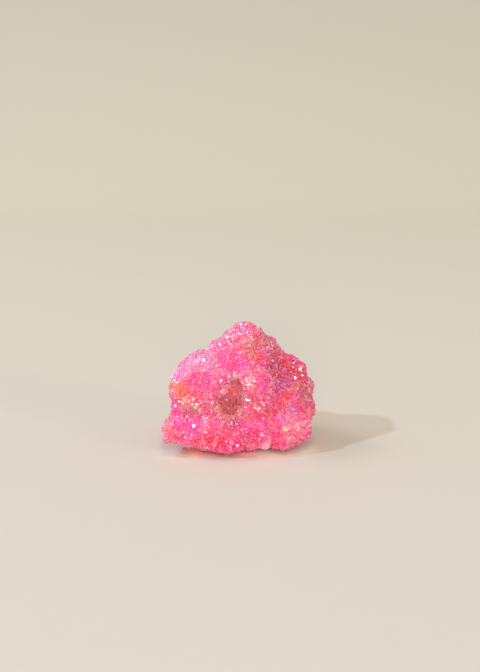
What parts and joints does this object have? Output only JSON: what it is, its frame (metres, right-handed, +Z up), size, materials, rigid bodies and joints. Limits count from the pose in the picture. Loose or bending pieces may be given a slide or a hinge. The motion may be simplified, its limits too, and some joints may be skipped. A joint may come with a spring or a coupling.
{
  "type": "geode",
  "caption": "Lumpy chunk of druzy quartz from a geode, dyed hot pink, with a small crystal-lined hollow in its front.",
  "frame": {"origin": "on the surface that the chunk rests on, under the middle of its bounding box", "axes": "+Z up as the chunk rests, +X to the right seen from the front, the small hollow faces -Y"},
  "size_m": [0.06, 0.045, 0.0485],
  "materials": {
    "druse": "hot pink dyed quartz druse, glassy facets with a thin iridescent coat, lilac to coral",
    "hollow_druse": "dusty rose dyed quartz druse, glassy facets, duller than the outside"
  },
  "bodies": {
    "root": {"geode_body": "druse", "hollow_crust": "hollow_druse"}
  },
  "joints": []
}
